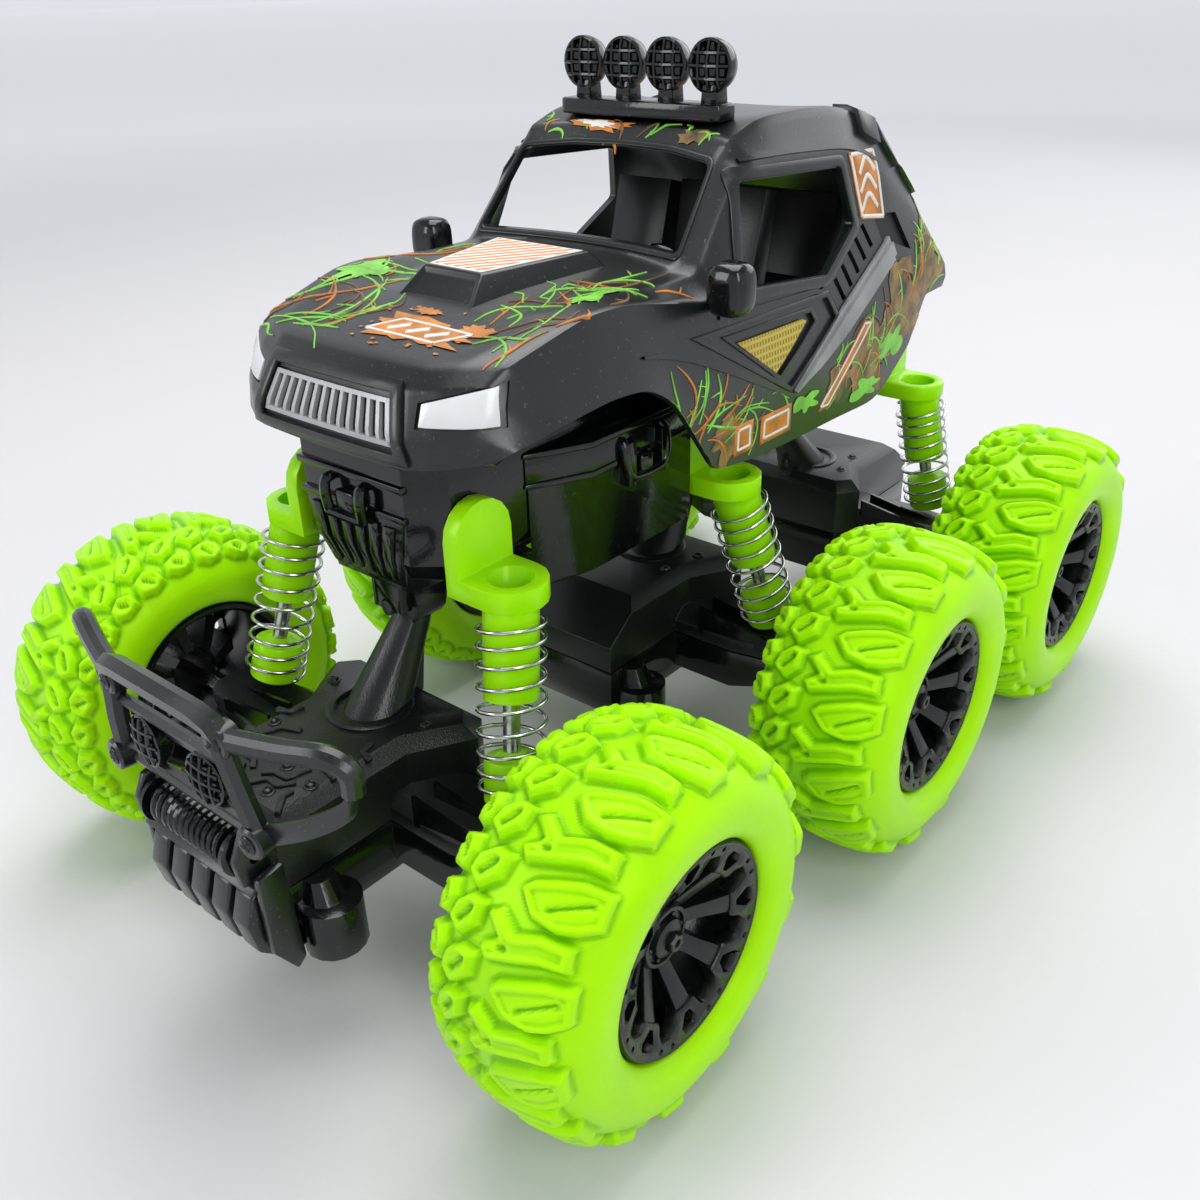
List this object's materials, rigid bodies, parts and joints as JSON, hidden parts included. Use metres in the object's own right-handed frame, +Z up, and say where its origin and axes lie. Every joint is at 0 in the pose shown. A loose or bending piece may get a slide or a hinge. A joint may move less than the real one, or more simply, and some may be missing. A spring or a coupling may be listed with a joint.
{
  "type": "rc monster truck",
  "caption": "Ladder of three sprung rolling axles under an open-cabin off-road truck shell, with ribbed balloon tyres, coil shocks, roof lamps and a front guard.",
  "frame": {"origin": "middle of the footprint on the floor plane", "axes": "+Y towards the tail, the front faces -Y, +X to the truck's left side, +Z up"},
  "size_m": [0.1552, 0.2327, 0.1565],
  "materials": {
    "lime_tyre": "soft bright lime moulded tyre with a satin surface",
    "black_rim": "black moulded wheel, half gloss",
    "satin_black": "satin charcoal black shell with printed scribble graphics",
    "gloss_black": "polished black moulding",
    "textured_black": "black moulding with a fine grain",
    "cabin_black": "black cabin moulding",
    "lime_plastic": "bright lime glossy moulding",
    "spring_steel": "bright plated spring wire and polished rods",
    "shaft_steel": "plain steel",
    "cream_plastic": "natural nylon",
    "battery_grey": "dark grey moulding",
    "board_green": "green circuit board"
  },
  "bodies": {
    "chassis": {"chassis_tub": "gloss_black", "body_shell": "satin_black", "roof_light_bar": "gloss_black", "seat_tray": "cabin_black", "steering_wheel": "cabin_black", "battery_pack": "battery_grey", "circuit_board": "board_green", "battery_door": "gloss_black", "left_side_box": "gloss_black", "right_side_box": "gloss_black", "left_mirror": "gloss_black", "right_mirror": "gloss_black", "front_left_shock_bracket": "lime_plastic", "front_left_spring": "spring_steel", "front_right_shock_bracket": "lime_plastic", "front_right_spring": "spring_steel", "middle_left_shock_bracket": "lime_plastic", "middle_left_spring": "spring_steel", "middle_right_shock_bracket": "lime_plastic", "middle_right_spring": "spring_steel", "rear_left_shock_bracket": "lime_plastic", "rear_left_spring": "spring_steel", "rear_right_shock_bracket": "lime_plastic", "rear_right_spring": "spring_steel"},
    "front_axle": {"front_axle_cover": "textured_black", "front_axle_housing": "gloss_black", "front_left_damper_rod": "lime_plastic", "front_right_damper_rod": "lime_plastic", "bull_bar": "textured_black", "winch_drum": "textured_black", "front_motor": "shaft_steel"},
    "front_wheels": {"front_axle_shaft": "shaft_steel", "front_left_tyre": "lime_tyre", "front_left_rim": "black_rim", "front_right_tyre": "lime_tyre", "front_right_rim": "black_rim"},
    "front_pinion": {"front_motor_pinion": "cream_plastic"},
    "middle_axle": {"middle_axle_cover": "textured_black", "middle_axle_housing": "gloss_black", "middle_left_damper_rod": "lime_plastic", "middle_right_damper_rod": "lime_plastic"},
    "middle_wheels": {"middle_axle_shaft": "shaft_steel", "middle_left_tyre": "lime_tyre", "middle_left_rim": "black_rim", "middle_right_tyre": "lime_tyre", "middle_right_rim": "black_rim"},
    "rear_axle": {"rear_axle_cover": "textured_black", "rear_axle_housing": "gloss_black", "rear_left_damper_rod": "lime_plastic", "rear_right_damper_rod": "lime_plastic", "rear_motor": "shaft_steel"},
    "rear_wheels": {"rear_axle_shaft": "shaft_steel", "rear_left_tyre": "lime_tyre", "rear_left_rim": "black_rim", "rear_right_tyre": "lime_tyre", "rear_right_rim": "black_rim"},
    "rear_pinion": {"rear_motor_pinion": "cream_plastic"},
    "power_switch": {"power_switch": "battery_grey"}
  },
  "joints": [
    {"name": "front_axle_roll", "type": "hinge", "parent": "chassis", "child": "front_axle", "pos_m": [0, -0.0619, 0.066], "axis": [0, 1, 0], "range_deg": [-7, 7], "stiffness_Nm_per_rad": 0.35, "deforming": ["front_left_spring", "front_right_spring"]},
    {"name": "front_wheels_spin", "type": "hinge", "parent": "front_axle", "child": "front_wheels", "pos_m": [0, -0.0772, 0.034], "axis": [1, 0, 0], "continuous": true},
    {"name": "front_pinion_spin", "type": "hinge", "parent": "front_axle", "child": "front_pinion", "pos_m": [0, -0.0893, 0.034], "axis": [1, 0, 0], "continuous": true},
    {"name": "middle_axle_roll", "type": "hinge", "parent": "chassis", "child": "middle_axle", "pos_m": [0, 0.024, 0.0645], "axis": [0, 1, 0], "range_deg": [-7, 7], "stiffness_Nm_per_rad": 0.35, "deforming": ["middle_left_spring", "middle_right_spring"]},
    {"name": "middle_wheels_spin", "type": "hinge", "parent": "middle_axle", "child": "middle_wheels", "pos_m": [0, 0.0087, 0.034], "axis": [1, 0, 0], "continuous": true},
    {"name": "rear_axle_roll", "type": "hinge", "parent": "chassis", "child": "rear_axle", "pos_m": [0, 0.0671, 0.0625], "axis": [0, 1, 0], "range_deg": [-7, 7], "stiffness_Nm_per_rad": 0.35, "deforming": ["rear_left_spring", "rear_right_spring"]},
    {"name": "rear_wheels_spin", "type": "hinge", "parent": "rear_axle", "child": "rear_wheels", "pos_m": [0, 0.0824, 0.034], "axis": [1, 0, 0], "continuous": true},
    {"name": "rear_pinion_spin", "type": "hinge", "parent": "rear_axle", "child": "rear_pinion", "pos_m": [0, 0.0945, 0.034], "axis": [1, 0, 0], "continuous": true},
    {"name": "power_switch_slide", "type": "slide", "parent": "chassis", "child": "power_switch", "axis": [0, 1, 0], "range_m": [0, 0.003]}
  ],
  "couplings": [
    {"joint": "front_pinion_spin", "follows": "front_wheels_spin", "ratio": -2.4},
    {"joint": "rear_pinion_spin", "follows": "rear_wheels_spin", "ratio": -2.4}
  ]
}
